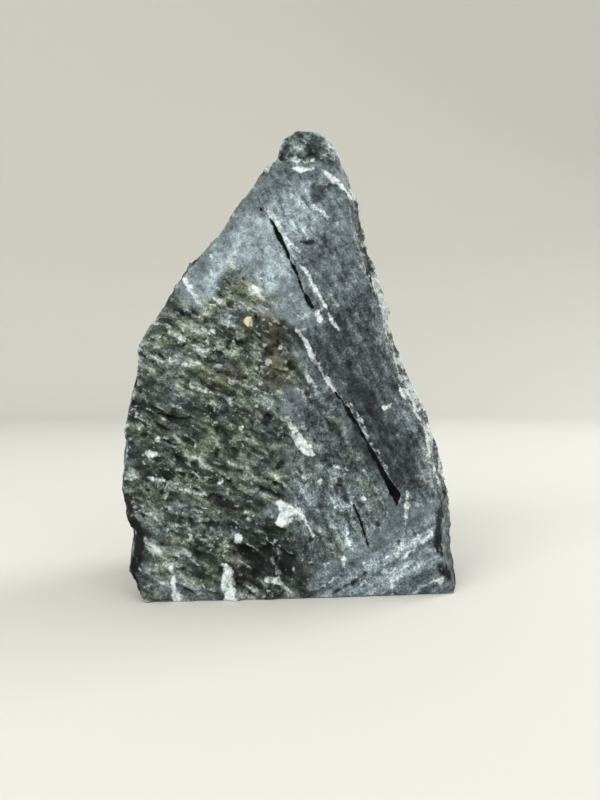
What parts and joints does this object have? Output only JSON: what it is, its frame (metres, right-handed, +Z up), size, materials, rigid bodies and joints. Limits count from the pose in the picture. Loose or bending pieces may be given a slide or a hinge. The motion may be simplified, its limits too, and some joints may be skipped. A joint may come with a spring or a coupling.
{
  "type": "soapstone block",
  "caption": "Rough upright block of grey-green soapstone with a broad split face, long cracks, a scaly rough side, layered edges and a sawn foot.",
  "frame": {"origin": "middle of the stone's bounding box, on the sawn foot", "axes": "+Z up, from the sawn foot to the knob; +Y from the broad split face to the back; +X to the right as the split face is looked at"},
  "size_m": [0.1576, 0.0904, 0.218],
  "materials": {
    "soapstone": "damp satin, bruised pale along the edges"
  },
  "bodies": {
    "root": {"soapstone_block": "soapstone"}
  },
  "joints": []
}
